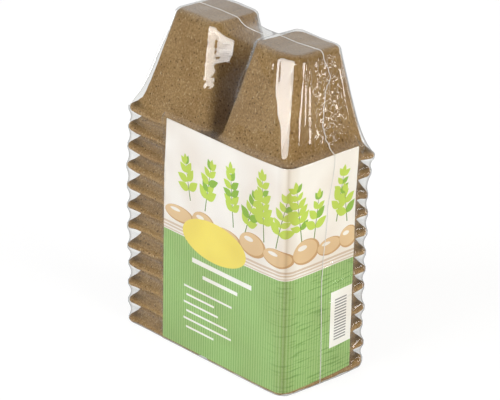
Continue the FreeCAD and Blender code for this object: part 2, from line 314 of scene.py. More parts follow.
# studio: a white sweep, soft lamps that light the colours, and lamps that show only as glare
# in the glossy film
studio = {
    "worldStrength": 0.10,
    "behindPack": (-0.68, 0.70, 0.22),         # the sweep's bright side, mirrored in the film's tops
    "mirroredRoom": {"From Min": -0.1, "From Max": 0.55, "To Min": 0.06, "To Max": 0.95},
    "floorWidth": 12.0, "floorPaper": "#F2F2F2",
    "floorGlow": 1.06, "glowShare": 0.8,       # the floor glows to the camera, so that it comes out white
    "mirroredFloor": 0.42,                     # and is grey where the film mirrors it
    "lampAim": 0.1,                            # height that the lamps face, in m
    "lampTints": {"endLight": "#FFFBF0"},
    # lamps: azimuth, elevation, distance, width, height, radiance
    "softLamps": {
        "frontLight": (-10, 32, 1.5, 1.1, 0.9, 5.8),
        "endLight": (98, 30, 1.5, 1.1, 0.9, 5.8),
        "overhead": (46, 78, 1.4, 1.2, 1.2, 0.45),
        "backLight": (225, 30, 1.6, 1.3, 0.9, 2.6),
    },
    "glareLamps": {
        "frontGlare": (12, 3.3, 0.6, 0.98, 0.26, 12.0),
        "highGlare": (3, 22, 0.6, 0.6, 0.14, 9.0),
        "endGlare": (102, -0.3, 0.8, 0.46, 0.18, 11.0),
        "sideGlare": (158, -0.3, 0.8, 0.2, 0.18, 2.5),
        "backGlare": (262, -0.3, 0.8, 0.2, 0.18, 7.0),
        "lowEndGlare": (131, -6.6, 0.6, 0.2, 0.03, 7.5),      # a low strip, caught only by small creases
    },
}


def makeLamp(name, place, glare):
    azimuth, elevation, distance, width, height, radiance = place
    data = bpy.data.lights.new(name, "AREA")
    data.shape = "RECTANGLE"
    data.size, data.size_y = width, height
    data.color = hexColour(studio["lampTints"].get(name, white))[:3]
    data.energy = radiance * math.pi * width * height
    lamp = newObject(name, data)
    away = directionTo(azimuth, elevation)
    lamp.location = Vector((0, 0, studio["lampAim"])) + away * distance
    lamp.rotation_euler = away.to_track_quat("Z", "Y").to_euler()
    lamp.visible_camera = False
    lamp.visible_diffuse = not glare
    lamp.visible_glossy = glare
    lamp.visible_transmission = False


def makeWorld():
    world = bpy.data.worlds.new("whiteStudio")
    bpy.context.scene.world = world
    world.use_nodes = True
    world.node_tree.nodes.clear()
    add = partial(addNode, world.node_tree)
    path = add("LightPath").outputs
    seen = add("Math", {"operation": "MAXIMUM"}, {0: path["Is Camera Ray"], 1: path["Is Transmission Ray"]})
    direction = add("TexCoord").outputs["Generated"]
    behind = add("VectorMath", {"operation": "DOT_PRODUCT", 1: studio["behindPack"]},
                 {0: direction}).outputs["Value"]
    mirrored = add("MapRange", studio["mirroredRoom"], {"Value": behind})
    lit = add("Background", {"Color": white, "Strength": studio["worldStrength"]})
    backdrop = add("Background", {"Color": white, "Strength": 1.0})
    room = add("Background", {"Color": white}, {"Strength": mirrored})
    shown = add("MixShader", links={0: seen, 1: lit, 2: backdrop})
    mix = add("MixShader", links={0: path["Is Glossy Ray"], 1: shown, 2: room})
    add("OutputWorld", links={"Surface": mix})


def makeFloor():
    deselectAll()
    bpy.ops.mesh.primitive_plane_add(size=studio["floorWidth"], location=(0, 0, 0))
    floor = bpy.context.object
    floor.name = "paleFloor"
    material, add = newMaterial("Matt white paper sweep")
    path = add("LightPath").outputs
    seen = add("Math", {"operation": "MAXIMUM"}, {0: path["Is Camera Ray"], 1: path["Is Glossy Ray"]})
    share = add("Math", {**multiply, 1: studio["glowShare"]}, {0: seen})
    paper = add("BsdfDiffuse", {"Color": studio["floorPaper"]})
    glow = studio["floorGlow"]
    dimmed = add("Math", {"operation": "MULTIPLY_ADD", 1: studio["mirroredFloor"] - glow, 2: glow},
                 {0: path["Is Glossy Ray"]})
    glowing = add("Emission", {"Color": white}, {"Strength": dimmed})
    mix = add("MixShader", links={0: share, 1: paper, 2: glowing})
    add("OutputMaterial", links={"Surface": mix})
    floor.data.materials.append(material)


makeCamera()
makeWorld()
makeFloor()
for name, place in studio["softLamps"].items():
    makeLamp(name, place, False)
for name, place in studio["glareLamps"].items():
    makeLamp(name, place, True)
bpy.context.scene.view_settings.view_transform = "Standard"
print("camera and studio made")

# pots

potForm = {
    # faces along each side and round each corner
    "steps": dict.fromkeys(("right", "back", "left", "front"), 14), "cornerSteps": 8,
    "openSteps": 22, "nestedSteps": 7,         # rings up a top pot's wall and up the others'
    "topSteps": 7, "roundSteps": 5, "hollowSteps": 5,
    "neckHalf": 26.5, "neckHeight": 4.5, "baseHalf": 15.9, "wallFoot": 7.0, "wallProud": 0.05,
    "rimRadius": 5.0, "neckRadius": 5.5, "baseRadius": 6.8, "edgeRounding": 3.0, "edgeTighten": 0.6,
    "wall": 1.7, "base": 2.0, "mouth": 4.0, "hollowRound": 0.4, "hollowTop": 1.0,
    "ceiling": [(0.0, 0.0), (6.0, 3.0), (12.0, 4.0)],         # half width and corner radius
    # the lip, from the hollow round to the wall: height, and how much less than the rim's are
    # its half width and its corner radius
    "lip": [(2.2, 4.2, 1.8), (0.5, 2.9, 1.8), (0.05, 2.3, 1.6), (0.0, 1.1, 0.8), (0.25, 0.35, 0.3),
            (0.9, 0.0, 0.0), (1.9, 0.05, 0.0), (2.4, 0.4, 0.4), (3.0, 1.0, 0.8), (3.8, 1.8, 0.6),
            (4.7, 2.6, 0.2), (5.8, 3.2, -0.2)],
    # how uneven the moulding is, and the length of its waves
    "lipWave": 0.9, "lipOut": 0.5, "drawnIn": 0.45, "wallWave": 0.175, "baseWave": 0.5, "grainWave": 0.12,
    "waveLength": 13.0, "outLength": 8.0, "wallLength": 11.0, "grainLength": 2.6,
    # how pale each part is: painted shade in the furrow over each lip, deepest in the corner hollows, on the
    # lip's inner side and on the wall just above the flare; painted highlight on the flare and on the lips,
    # which are partly rubbed pale too; the lower pots' walls painted paler, a painted haze for the film's
    # reflection over them
    "tone": {"lip": 1.16, "lipTop": 2.3, "inside": 0.75, "shelf": 1.08, "shelfTop": 6.0, "grooveShade": 0.14,
             "pocketShade": 0.58, "grooveHeight": 4.2, "grooveWide": 1.3, "neck": 0.93, "neckFade": 8.0,
             "baseEdge": 0.16, "baseEdgeWide": 2.4, "nested": 1.12},
}
potForm["slope"] = ((potForm["neckHalf"] - potForm["baseHalf"])
                    / (pack["potHeight"] - potForm["neckHeight"]))


def potProfile(wallSteps):
    # height, half width and corner radius of every ring, from the ceiling inside, down to the
    # lip, and up the outside to the middle of the base
    form, height = potForm, pack["potHeight"]
    rim, corner, rounding = pack["rimHalf"], form["rimRadius"], form["edgeRounding"]

    def wallAt(z):
        return form["neckHalf"] - form["slope"] * (z - form["neckHeight"])

    def radiusAt(z):
        share = (z - form["neckHeight"]) / (height - form["neckHeight"])
        return form["neckRadius"] + (form["baseRadius"] - form["neckRadius"]) * share

    ceiling, small = height - form["base"], form["hollowRound"]
    inner = form["wall"] * math.hypot(1, form["slope"])
    rings = [(ceiling, half, radius) for half, radius in form["ceiling"]]
    rings.append((ceiling - small, wallAt(ceiling) - inner - small, rings[-1][2]))
    hollow = ceiling - form["hollowTop"]
    for k in range(1, form["hollowSteps"] + 1):
        z = hollow + (form["mouth"] - hollow) * k / form["hollowSteps"]
        rings.append((z, wallAt(z) - inner, radiusAt(z) - inner))
    rings += [(z, rim - inward, corner - tighter) for z, inward, tighter in form["lip"]]
    foot, shoulder = form["wallFoot"], height - rounding
    rings.append((foot, wallAt(foot) + form["wallProud"], form["neckRadius"]))
    for k in range(1, wallSteps + 1):
        z = foot + (shoulder - foot) * k / wallSteps
        rings.append((z, wallAt(z), radiusAt(z)))
    for k in range(1, form["roundSteps"] + 1):
        turn = k / form["roundSteps"] * math.pi / 2
        inset = rounding * (1 - math.cos(turn))
        rings.append((shoulder + rounding * math.sin(turn), wallAt(shoulder) - inset,
                      radiusAt(shoulder) - inset * form["edgeTighten"]))
    flat, flatRadius = wallAt(shoulder) - rounding, form["baseRadius"] - rounding * form["edgeTighten"]
    for k in range(1, form["topSteps"] + 1):
        share = 1 - k / form["topSteps"]
        rings.append((height, flat * share, flatRadius * share))
    return rings


def ringPaintedShade(z, half, cornered, wallHazeTone):
    # the lips are painted pale, partly rubbed wear and partly painted highlight; the furrow over them and the
    # hollow get painted shade, darkest in the corners; and the mould has pressed the edge round the base
    # darker
    form = potForm["tone"]
    if z < form["lipTop"]:
        # lips painted paler, partly painted highlight; their inner side painted darker, a painted shade
        return form["lip"] if half > pack["rimHalf"] - 2 else form["inside"]
    if z < form["shelfTop"] and half > potForm["neckHalf"] + 0.2:
        # the flare is painted a little paler, a painted highlight, less a painted shade furrow that is
        # deepest in the corners
        deep = form["grooveShade"] + form["pocketShade"] * cornered
        return form["shelf"] - deep * hump(z, form["grooveHeight"], form["grooveWide"])
    # painted shade on the wall just above the flare, fading upward
    wall = form["neck"] + (1 - form["neck"]) * clamp((z - potForm["mouth"]) / form["neckFade"])
    wall -= form["baseEdge"] * hump(z, pack["potHeight"] - potForm["base"], form["baseEdgeWide"])
    # the lower pots' walls painted paler here: a painted haze for the film's reflection
    return wall * wallHazeTone


def makePotBlank(wallSteps, wallHazeTone):
    rings, places = potProfile(wallSteps), roundPlaces(potForm["steps"], potForm["cornerSteps"])
    blank, turns, levels = rolledSheet("potBlank", len(places), len(rings))
    coords, paintedShadeTones = [], []
    for turn, level in zip(turns, levels):
        z, half, radius = rings[level]
        x, y = planPoint(places[turn], half, half, radius)[:2]
        cornered = smoothStep(0.6, 0.9, min(abs(x), abs(y)) / max(abs(x), abs(y), 0.01))
        coords.append((x, y, z))
        paintedShadeTones.append(ringPaintedShade(z, half, cornered, wallHazeTone))
    writeShape(blank, coords)
    # each ring's painted shade and painted highlight go into a point attribute
    blank.data.attributes.new("tone", "FLOAT", "POINT")
    blank.data.attributes["tone"].data.foreach_set("value", paintedShadeTones)
    closeAndTurnOut(blank)
    return blank


def shapePot(piece, stackX, base, seed):
    # moulded fibre is never quite even: lips wave and walls are slightly drawn in
    form = potForm
    shaped = []
    for x, y, z in pointsOf(piece):
        reach = max(abs(x), abs(y), 0.01)
        lip = clamp((6.0 - z) / 4.0) * min(1.0, reach / 20)
        here = Vector((x / form["waveLength"], y / form["waveLength"], seed))
        wave = noise.noise(here) + 0.6 * noise.noise(here * 2.7)
        if base < pack["pitch"]:
            wave = max(0.0, wave)       # the lowest two stand flat
        push = noiseAt(x / form["outLength"], y / form["outLength"], seed + 7.3)
        corner = min(abs(x), abs(y)) / reach
        hollow = -form["drawnIn"] * (1 - corner * corner) * clamp((z - 6) / 14) * (reach > 12)
        there = Vector((x, y, z))
        wall = noise.noise(there / form["wallLength"] + Vector((0, 0, seed))) * form["wallWave"]
        grain = noise.noise(there / form["grainLength"] + Vector((0, 0, seed))) * form["grainWave"]
        scale = 1 + (lip * push * form["lipOut"] + (1 - lip) * (hollow + wall) + grain) / max(reach, 8)
        sag = clamp((z - pack["potHeight"] + 2) / 2) * noise.noise(here * 1.3) * form["baseWave"]
        shaped.append(settle((stackX + x * scale, y * scale, base + z + lip * wave * form["lipWave"] + sag)))
    writeShape(piece, shaped)


def makePots(material):
    openBlank = makePotBlank(potForm["openSteps"], 1.0)
    # the lower pots get walls painted paler, a painted haze for the film's reflection over them
    nestedBlank = makePotBlank(potForm["nestedSteps"], potForm["tone"]["nested"])
    for side, sign in (("left", -1), ("right", 1)):
        for level, name in enumerate(potNames[side]):
            blank = openBlank if level == 11 else nestedBlank
            pot = newObject(f"peatPot_{side}_{level + 1:02d}", blank.data.copy())
            base, seed = pack["floor"] + level * pack["pitch"], 3.1 * level + 50 * sign
            shapePot(pot, sign * pack["stackX"], base, seed)
            ridePack(pot, material, "peat_fibre", name)
    for blank in (openBlank, nestedBlank):
        bpy.data.objects.remove(blank)


peatFibre = {
    # sizes in mm
    "grain": 1.0, "cloud": 22.0, "fleckEvery": 1.9, "fleckReach": 0.15, "fleckShare": 0.38,
    "strawWide": 0.8, "strawLength": 2.6, "strawTurns": ((0.6, 0.5, 0.4), (1.5, -0.7, 0.9)), "felt": 0.35,
    "body": [(0.32, "#826A45"), (0.5, "#9E835A"), (0.70, "#B49B72")],
    "warmth": [(0.35, "#E3D8C8"), (0.65, "#FFFAF2")],
    "fleck": "#5A4329", "straw": "#CFBA92", "strawMask": [(0.67, "#000000"), (0.75, "#CBCBCB")],
}


def makePeatFibre():
    # moulded peat and wood fibre, pressed wet on a mesh and dried: matt and felted, brown with
    # dark peat flecks and short pale straws
    form, wide = peatFibre, peatFibre["strawWide"]
    material, add = newMaterial("Moulded peat and wood fibre")
    place = {"Vector": add("TexCoord").outputs["Object"]}
    grain = add("TexNoise", {"Scale": 1 / (form["grain"] * mm), "Detail": 3.0, "Roughness": 0.75}, place)
    cloud = add("TexNoise", {"Scale": 1 / (form["cloud"] * mm), "Detail": 3.0}, place)
    body = add("ValToRGB", {"stops": form["body"]}, {"Fac": grain})
    warm = add("ValToRGB", {"stops": form["warmth"]}, {"Fac": cloud})
    colour = add("Mix", colourMultiply, {"A": body, "B": warm})
    fleck = add("TexVoronoi", {"Scale": 1 / (form["fleckEvery"] * mm)}, place).outputs
    spots = [(form["fleckReach"], white), (form["fleckReach"] * 2, black)]
    spot = add("ValToRGB", {"stops": spots}, {"Fac": fleck["Distance"]})
    chance = add("TexWhiteNoise", {"noise_dimensions": "3D"}, {"Vector": fleck["Position"]})
    rare = add("Math", {"operation": "LESS_THAN", 1: form["fleckShare"]}, {0: chance})
    flecked = add("Math", multiply, {0: spot, 1: rare})
    colour = add("Mix", {**colourMix, "B": form["fleck"]}, {"Factor": flecked, "A": colour})
    relief, drawnOut = grain, (1, 1, wide / form["strawLength"])
    for turn in form["strawTurns"]:
        laid = add("Mapping", {"Scale": drawnOut, "Rotation": turn}, place)
        straw = add("TexNoise", {"Scale": 1 / (wide * mm), "Detail": 1.0}, {"Vector": laid})
        strewn = add("ValToRGB", {"stops": form["strawMask"]}, {"Fac": straw})
        colour = add("Mix", {**colourMix, "B": form["straw"]}, {"Factor": strewn, "A": colour})
        relief = add("Math", {"operation": "ADD"}, {0: relief, 1: straw})
    # the pots' painted shade, painted highlight and painted film haze multiply the peat's colour
    tone = add("Attribute", {"attribute_name": "tone"}).outputs["Fac"]
    colour = add("Mix", colourMultiply, {"A": colour, "B": tone})
    bump = add("Bump", {"Strength": 0.7, "Distance": form["felt"] * mm}, {"Height": relief})
    shader = add("BsdfPrincipled", {"Roughness": 0.95, "Specular IOR Level": 0.15},
                 {"Base Color": colour, "Normal": bump})
    add("OutputMaterial", links={"Surface": shader})
    return material


makePots(makePeatFibre())
print("pots made")

# card: one printed sheet bent round the front corner

cardForm = {
    "thickness": 0.33, "bend": 5.4, "bendSteps": 8, "sheetRows": 24,
    "frontCuts": (7, 12.0), "endCuts": (3, 10.0),             # count and spacing of the sheet's other cuts
    "leftSpread": 1.3, "spreadOver": 32.0,     # the left edge bows out below its top corner
    "footRise": 1.1,                           # the lower edge stops short of the pack's foot
    "endRise": 1.9,                            # the end's far edge sits this much higher
    "layoutScale": 200.0,                      # mm of card to one unit of its layout
    "ribs": 1.75,                              # mm from rib to rib of the band's print
    "bandTop": 62.5,                           # height of the printed green band on the card
    "lines": [(63.1, 0.55), (64.725, 0.85), (66.35, 1.15)],   # thin beige lines: low edge, height
    "disc": (38.0, 66.5, 23.5, 11.0),          # yellow disc: middle and half sizes
    "panel": (119.2, 15.5, 134.7, 47.0),       # white panel: left, low, right, high on the flat card
    "panelBars": {"count": 15, "foot": 3.6, "every": 1.6, "tall": 0.75, "left": 3.0, "right": 4.2},
    "ink": {
        "paper": "#F7F3EF", "green": "#A8CC84", "beige": "#DCC8B4", "yellow": "#F6E468", "white": "#FDFDFB",
        "grey": "#8F8F92", "leaf": "#C3DC4E", "leafDark": "#8DBB33", "stalk": "#6E8F3C", "tan": "#E6C79A",
        "tanDark": "#CFA672",
    },
    # sprigs: foot along the card, foot height, length, lean in degrees, number of leaf pairs
    "sprigs": [(20, 84, 20, 12, 4), (31, 82, 25, -8, 5), (52, 80.5, 30, 6, 6),
               (60, 79, 24, -16, 5), (74, 80, 34, 4, 7), (82.5, 79.5, 27, -13, 5),
               (98, 80, 31, 9, 6), (106, 81, 22, -6, 4), (121, 86, 25, -9, 5),
               (128.5, 84, 17, 8, 3)],
    "stalkHalf": 0.35, "leafLong": 8.4, "leafNarrow": 0.55, "tipLeaf": (5.2, 2.8),
    # pebbles: middle along the card, low edge, half width, height
    "pebbles": [(12, 69.2, 11, 9), (30, 69.2, 8.5, 11.5), (47, 69.2, 10.5, 8.5),
                (66, 69.2, 9.5, 13), (83.5, 69.2, 10, 10), (101, 69.2, 9, 13.5),
                (117, 69.2, 8.5, 9.5), (130, 69.2, 6.5, 12)],
    # each pebble's outline, face and shine: middle and half sizes as shares of the pebble
    "pebbleShares": [("tanDark", 0.0, 0.5, 1.0, 0.5, 40), ("tan", -0.08, 0.53, 0.9, 0.44, 40),
                     ("paper", -0.3, 0.7, 0.34, 0.1, 20)],
    # plain bars on the band: left, low, width, height
    "bars": [(22, 50.5, 44, 2.6), (30, 43.6, 26, 2)]
            + [(16 + 2 * (k % 2), 35 - 4.6 * k, 36 - 5 * ((k * 3) % 4), 1.1) for k in range(6)],
}
cardForm["front"] = (cardHigh.x - cardLow.x) - cardForm["bend"]
cardForm["arc"] = (cardForm["bend"] - cardForm["thickness"] / 2) * math.pi / 2
cardForm["end"] = (cardHigh.y - cardLow.y) - cardForm["bend"]
cardForm["length"] = cardForm["front"] + cardForm["arc"] + cardForm["end"]
cardForm["height"] = cardHigh.z - cardLow.z


def ellipse(middleX, middleY, halfX, halfY, points):
    turns = [2 * math.pi * k / points for k in range(points)]
    return [(middleX + halfX * math.cos(turn), middleY + halfY * math.sin(turn)) for turn in turns]


def box2d(left, low, right, high):
    return [(left, low), (right, low), (right, high), (left, high)]


def leafShape(footX, footY, length, width, turn):
    # pointed oval leaf growing from its foot
    shape = []
    for k in range(12):
        share = k / 6 if k <= 6 else (12 - k) / 6
        across = math.sin(math.pi * share ** 0.8) * width / 2 * (1 if k <= 6 else -1)
        along = share * length
        shape.append((footX + along * math.cos(turn) - across * math.sin(turn),
                      footY + along * math.sin(turn) + across * math.cos(turn)))
    return shape


def sprigShapes(form, sprig, rand):
    footX, footY, length, lean, pairs = sprig
    up = math.radians(90 + lean)
    tipX, tipY = footX + length * math.cos(up), footY + length * math.sin(up)
    stalk = []
    for x, y, side in ((footX, footY, -1), (footX, footY, 1), (tipX, tipY, 0.4), (tipX, tipY, -0.4)):
        aside = form["stalkHalf"] * side
        stalk.append((x + aside * math.sin(up), y - aside * math.cos(up)))
    shapes = [("stalk", stalk)]
    for k in range(pairs):
        share = 0.28 + 0.68 * k / max(1, pairs - 1)
        x, y = footX + (tipX - footX) * share, footY + (tipY - footY) * share
        size = form["leafLong"] * (1.12 - 0.5 * share) * rand.uniform(0.85, 1.15)
        for sign in (-1, 1):
            turn = up + sign * math.radians(rand.uniform(48, 72) - 22 * share)
            ink = "leafDark" if rand.random() < 0.3 else "leaf"
            shapes.append((ink, leafShape(x, y, size, size * form["leafNarrow"], turn)))
    shapes.append(("leaf", leafShape(tipX, tipY, *form["tipLeaf"], up)))
    return shapes


def printedShapes(form):
    # flat coloured shapes, from the lowest print layer to the highest
    shapes = [("green", box2d(-1, -1, form["length"] + 1, form["bandTop"]))]
    shapes += [("beige", box2d(-1, low, form["length"] + 1, low + tall)) for low, tall in form["lines"]]
    rand = random.Random(5)
    for sprig in form["sprigs"]:
        shapes += sprigShapes(form, sprig, rand)
    for middle, low, half, tall in form["pebbles"]:
        for ink, aside, rise, wide, high, points in form["pebbleShares"]:
            shape = ellipse(middle + half * aside, low + tall * rise, half * wide, tall * high, points)
            shapes.append((ink, shape))
    shapes.append(("yellow", ellipse(*form["disc"], 56)))
    for left, low, width, tall in form["bars"]:
        shapes.append(("white", box2d(left, low, left + width, low + tall)))
    left, low, right, high = form["panel"]
    shapes.append(("white", box2d(left, low, right, high)))
    bars = form["panelBars"]
    for k in range(bars["count"]):
        foot = low + bars["foot"] + k * bars["every"]
        shapes.append(("grey", box2d(left + bars["left"], foot, right - bars["right"], foot + bars["tall"])))
    return shapes


def insideShape(x, y, shape):
    inside = False
    for (ax, ay), (bx, by) in zip(shape, shape[1:] + shape[:1]):
        if (ay > y) != (by > y) and x < ax + (y - ay) / (by - ay) * (bx - ax):
            inside = not inside
    return inside


def inkAt(x, y, shapes):
    # the ink of the highest shape that covers a point
    ink = "paper"
    for name, shape, (left, low, right, high) in shapes:
        if left <= x <= right and low <= y <= high and insideShape(x, y, shape):
            ink = name
    return ink


def bentCard(along, height, form):
    # a point of the flat card carried to its place round the corner
    cornerX, cornerY = cardHigh.x - form["bend"], cardLow.y + form["bend"]
    beyond = along - form["front"]
    if beyond <= 0:
        below = form["height"] - height
        bow = form["leftSpread"] * (1 - along / form["front"]) * smoothStep(0, form["spreadOver"], below)
        x, y = cardLow.x + along - bow, cardLow.y
    elif beyond < form["arc"]:
        angle = beyond / form["arc"] * math.pi / 2
        x, y = cornerX + form["bend"] * math.sin(angle), cornerY - form["bend"] * math.cos(angle)
    else:
        x, y = cardHigh.x, cornerY + beyond - form["arc"]
    askew = form["endRise"] * max(0.0, beyond) / form["end"]
    foot = form["footRise"] * (1 - height / form["height"])
    return (x, y, cardLow.z + height + foot + askew)


def drawnSheet(form, shapes):
    # the flat card cut along every printed outline, along the bend and across: points and faces
    length, height = form["length"], form["height"]
    points, edges = [], []
    for outline in [box2d(0, 0, length, height)] + [shape for ink, shape in shapes]:
        first, count = len(points), len(outline)
        points.extend((clamp(x, 0.0, length), clamp(y, 0.0, height)) for x, y in outline)
        edges.extend((first + k, first + (k + 1) % count) for k in range(count))
    cuts = [form["front"] + form["arc"] * k / form["bendSteps"] for k in range(form["bendSteps"] + 1)]
    frontCuts, frontEvery = form["frontCuts"]
    endCuts, endEvery = form["endCuts"]
    cuts += [frontEvery * k for k in range(1, frontCuts + 1)]
    cuts += [length - endEvery * k for k in range(1, endCuts + 1)]
    levels = [height * k / form["sheetRows"] for k in range(1, form["sheetRows"])]
    straight = [((cut, 0.0), (cut, height)) for cut in cuts]
    for ends in straight + [((0.0, level), (length, level)) for level in levels]:
        edges.append((len(points), len(points) + 1))
        points.extend(ends)
    coords, _, faces, _, _, _ = delaunay_2d_cdt([Vector(point) for point in points], edges, [], 0, 1e-4)
    return [(c.x, c.y) for c in coords], faces


def makeCard(material):
    form = cardForm
    shapes = printedShapes(form)
    flat, faces = drawnSheet(form, shapes)
    shapes = [(ink, shape, (*map(min, *shape), *map(max, *shape))) for ink, shape in shapes]
    middles = [[sum(flat[k][axis] for k in face) / len(face) for axis in (0, 1)] for face in faces]
    inks = [inkAt(x, y, shapes) for x, y in middles]
    mesh = bpy.data.meshes.new("printedCard")
    mesh.from_pydata([tuple(c * mm for c in settle(bentCard(x, y, form))) for x, y in flat], [], faces)
    card = newObject("printedCard", mesh)
    mesh.uv_layers.new(name="sheet")
    mesh.color_attributes.new("ink", "FLOAT_COLOR", "CORNER")
    layout = [value / form["layoutScale"] for loop in mesh.loops for value in flat[loop.vertex_index]]
    mesh.uv_layers["sheet"].data.foreach_set("uv", layout)
    colours = {ink: hexColour(code, 1.0 if ink == "green" else 0.0) for ink, code in form["ink"].items()}
    paint = [colours[ink] for polygon, ink in zip(mesh.polygons, inks) for _ in polygon.loop_indices]
    mesh.color_attributes["ink"].data.foreach_set("color", np.ravel(paint))
    closeAndTurnOut(card, 0)
    if card.data.polygons[0].normal.y >= 0:
        card.data.flip_normals()
    wall = card.modifiers.new("board", "SOLIDIFY")
    wall.thickness = form["thickness"] * mm
    wall.offset = -1
    wall.use_quality_normals = True
    bpy.ops.object.modifier_apply(modifier=wall.name)
    bpy.ops.object.shade_smooth_by_angle(angle=math.radians(35))
    ridePack(card, material, "printed_card", "label_card")


board = {
    # sizes in mm
    "creaseLong": 13.0, "creaseHigh": 1.2, "creaseLead": 12.0, "creaseFull": 3.0,
    "foldHalf": 1.2, "foldFade": 7.0, "fibre": 0.5, "tooth": 0.04,
    "ribTones": [(0.1, "#D3E2BC"), (0.55, "#F4F9EC"), (0.9, "#FFFFFF")],
    # the next three colours are painted shade: along the creases of the end face, up the middle of the bend
    # and beside that line
    "creaseShade": "#CEDDBC", "foldShade": "#D6CCC0", "foldSideShade": "#EDE8E2", "shade": "#F1EAE4",
}


def makePrintedBoard():
    # coated sleeve board, offset printed: satin, the band's print imitates ribbed board
    form, scale = cardForm, cardForm["layoutScale"]
    bend = form["front"] + form["arc"]
    material, add = newMaterial("Coated sleeve board, offset printed")
    ink = add("VertexColor", {"layer_name": "ink"}).outputs
    sheet = add("UVMap", {"uv_map": "sheet"})
    along = add("SeparateXYZ", links={0: sheet}).outputs["X"]
    # a wave texture of scale 1 has 20 radians to the unit
    waves = {"Scale": 2 * math.pi * scale / (20 * form["ribs"]), "Distortion": 0.9, "Detail": 2.0,
             "Detail Scale": 3.0}
    ribs = add("TexWave", waves, {"Vector": sheet}).outputs["Fac"]
    ribTone = add("ValToRGB", {"stops": board["ribTones"]}, {"Fac": ribs})
    colour = add("Mix", colourMultiply, {"Factor": ink["Alpha"], "A": ink["Color"], "B": ribTone})
    # painted shade: short level creases painted darker on the band of the end face, where the board is
    # pressed against the rims
    drawnOut = (scale / board["creaseLong"], scale / board["creaseHigh"], 1)
    laid = add("Mapping", {"Scale": drawnOut}, {"Vector": sheet})
    creaseShade = add("TexNoise", {"Scale": 1.0, "Detail": 2.0}, {"Vector": laid})
    creaseShadeMask = add("ValToRGB", {"stops": [(0.54, black), (0.64, white)]}, {"Fac": creaseShade})
    reach = {"From Min": (form["front"] - board["creaseLead"]) / scale,
             "From Max": (bend + board["creaseFull"]) / scale}
    onEnd = add("MapRange", reach, {"Value": along})
    creaseShaded = add("Math", multiply, {0: creaseShadeMask, 1: onEnd})
    creaseShaded = add("Math", multiply, {0: creaseShaded, 1: ink["Alpha"]})
    colour = add("Mix", {**colourMultiply, "B": board["creaseShade"]}, {"Factor": creaseShaded, "A": colour})
    # painted shade: a soft darker line up the middle of the bend
    middle = (form["front"] + form["arc"] / 2) / scale
    offFold = add("Math", {"operation": "SUBTRACT", 1: middle}, {0: along})
    aside = add("Math", {"operation": "ABSOLUTE"}, {0: offFold})
    foldShadeStops = [(0.0, board["foldShade"]), (board["foldHalf"] / scale, board["foldSideShade"]),
              (board["foldFade"] / scale, white)]
    foldShade = add("ValToRGB", {"stops": foldShadeStops}, {"Fac": aside})
    colour = add("Mix", colourMultiply, {"A": colour, "B": foldShade})
    shade = add("TexNoise", {"Scale": 7.0, "Detail": 1.0}, {"Vector": sheet})
    shadeTone = add("ValToRGB", {"stops": [(0.35, board["shade"]), (0.6, white)]}, {"Fac": shade})
    colour = add("Mix", {**colourMultiply, "Factor": 0.6}, {"A": colour, "B": shadeTone})
    fibre = add("TexNoise", {"Scale": scale / board["fibre"], "Detail": 2.0}, {"Vector": sheet})
    bump = add("Bump", {"Strength": 0.25, "Distance": board["tooth"] * mm}, {"Height": fibre})
    shader = add("BsdfPrincipled", {"Roughness": 0.45, "Specular IOR Level": 0.3},
                 {"Base Color": colour, "Normal": bump})
    add("OutputMaterial", links={"Surface": shader})
    return material


makeCard(makePrintedBoard())
print("printed card made")

# shrink film: a closed skin, tight over the rims and the card, tented from the top rims to the
# walls, dipping between the two tops; heights are the pack's, in mm

filmForm = {
    "steps": {"right": 80, "left": 40, "back": 90, "front": 90}, "cornerSteps": 9,
    "hoodSteps": 58, "topSteps": 9, "edgeSteps": 4, "bottomSteps": 6, "cardEdgeSteps": 16,
    "clearRim": 0.45, "clearCard": 0.3, "clearTop": 0.35, "cardProud": 0.45,
    "footInset": 0.8, "footRise": 1.6, "edge": 3.0, "edgeShare": 0.3, "topNarrows": 0.3, "hoodRound": 5.8,
    "lip": 2.0, "scallop": 1.3,
    # how far above the top rims the film comes in to the walls, by corner, and above the card
    "tents": {(-1, -1): 8.0, (1, 1): 4.5, (1, -1): 5.5, (-1, 1): 18.0}, "cardTentRise": 2.2,
    # where it leaves the card, from the card's edges
    "cardLeft": (-3.8, -0.6), "cardEnd": (2.5, -0.5), "cardTop": (5.0, 3.5),
    "valleyPull": 5.4, "valleyDeepens": (137, 166), "valleyLead": 3.0, "valleyCorner": 5.9,
    "saddleDip": 3.6, "saddleEdgeDip": 1.6, "saddleDeepens": (140, 172),
    "leftStand": 1.5, "leftStandFades": (150, 172),
    "crown": 1.7, "crownGrows": (114, 168), "crownFrom": (8, 18),
    "creases": {
        "sway": 0.12, "swayLength": 9.0,
        # the crumpled middle of the right end: place and spread as shares of the width
        "crumple": 0.74, "crumpleMiddle": 0.12, "crumpleSpread": 0.42,
        "crumpleWithin": (124, 175, 8, 5), "crumpleLength": 3.2, "crumpleFine": (1.7, 1.8),
        # upright streaks beside it: share of the width, how proud, foot and top
        "endStreaks": [(-0.60, 0.26, 138, 173), (-0.46, 0.32, 128, 171), (0.66, 0.2, 140, 168)],
        # creases that fan out on the right end: centre, how proud, width, reach, degrees
        "upperFan": (1, 131, 0.3, 0.55, 6, (-70, -38, -12, 15, 42, 66, 100, 140, 180, 215)),
        "lowerFan": (-2, 66, 0.32, 0.6, 14, (-28, -14, 4, 14, 24, 172, 186, 205, 222)),
        "torn": 0.2, "cardRipple": 0.3, "rippleLength": 2.6,
        # short creases under the right pot's front top edge: place, how proud, foot
        "shortCreases": [(37.5, 0.22, 158), (34.5, 0.2, 152), (31.0, 0.16, 162)],
    },
}
fullX, fullY = pack["stackX"] + pack["rimHalf"], pack["rimHalf"]
rimRound = potForm["rimRadius"] + filmForm["clearRim"]
hoodFoot, hoodTop = pack["topRim"] + filmForm["lip"], pack["top"] - filmForm["edge"]


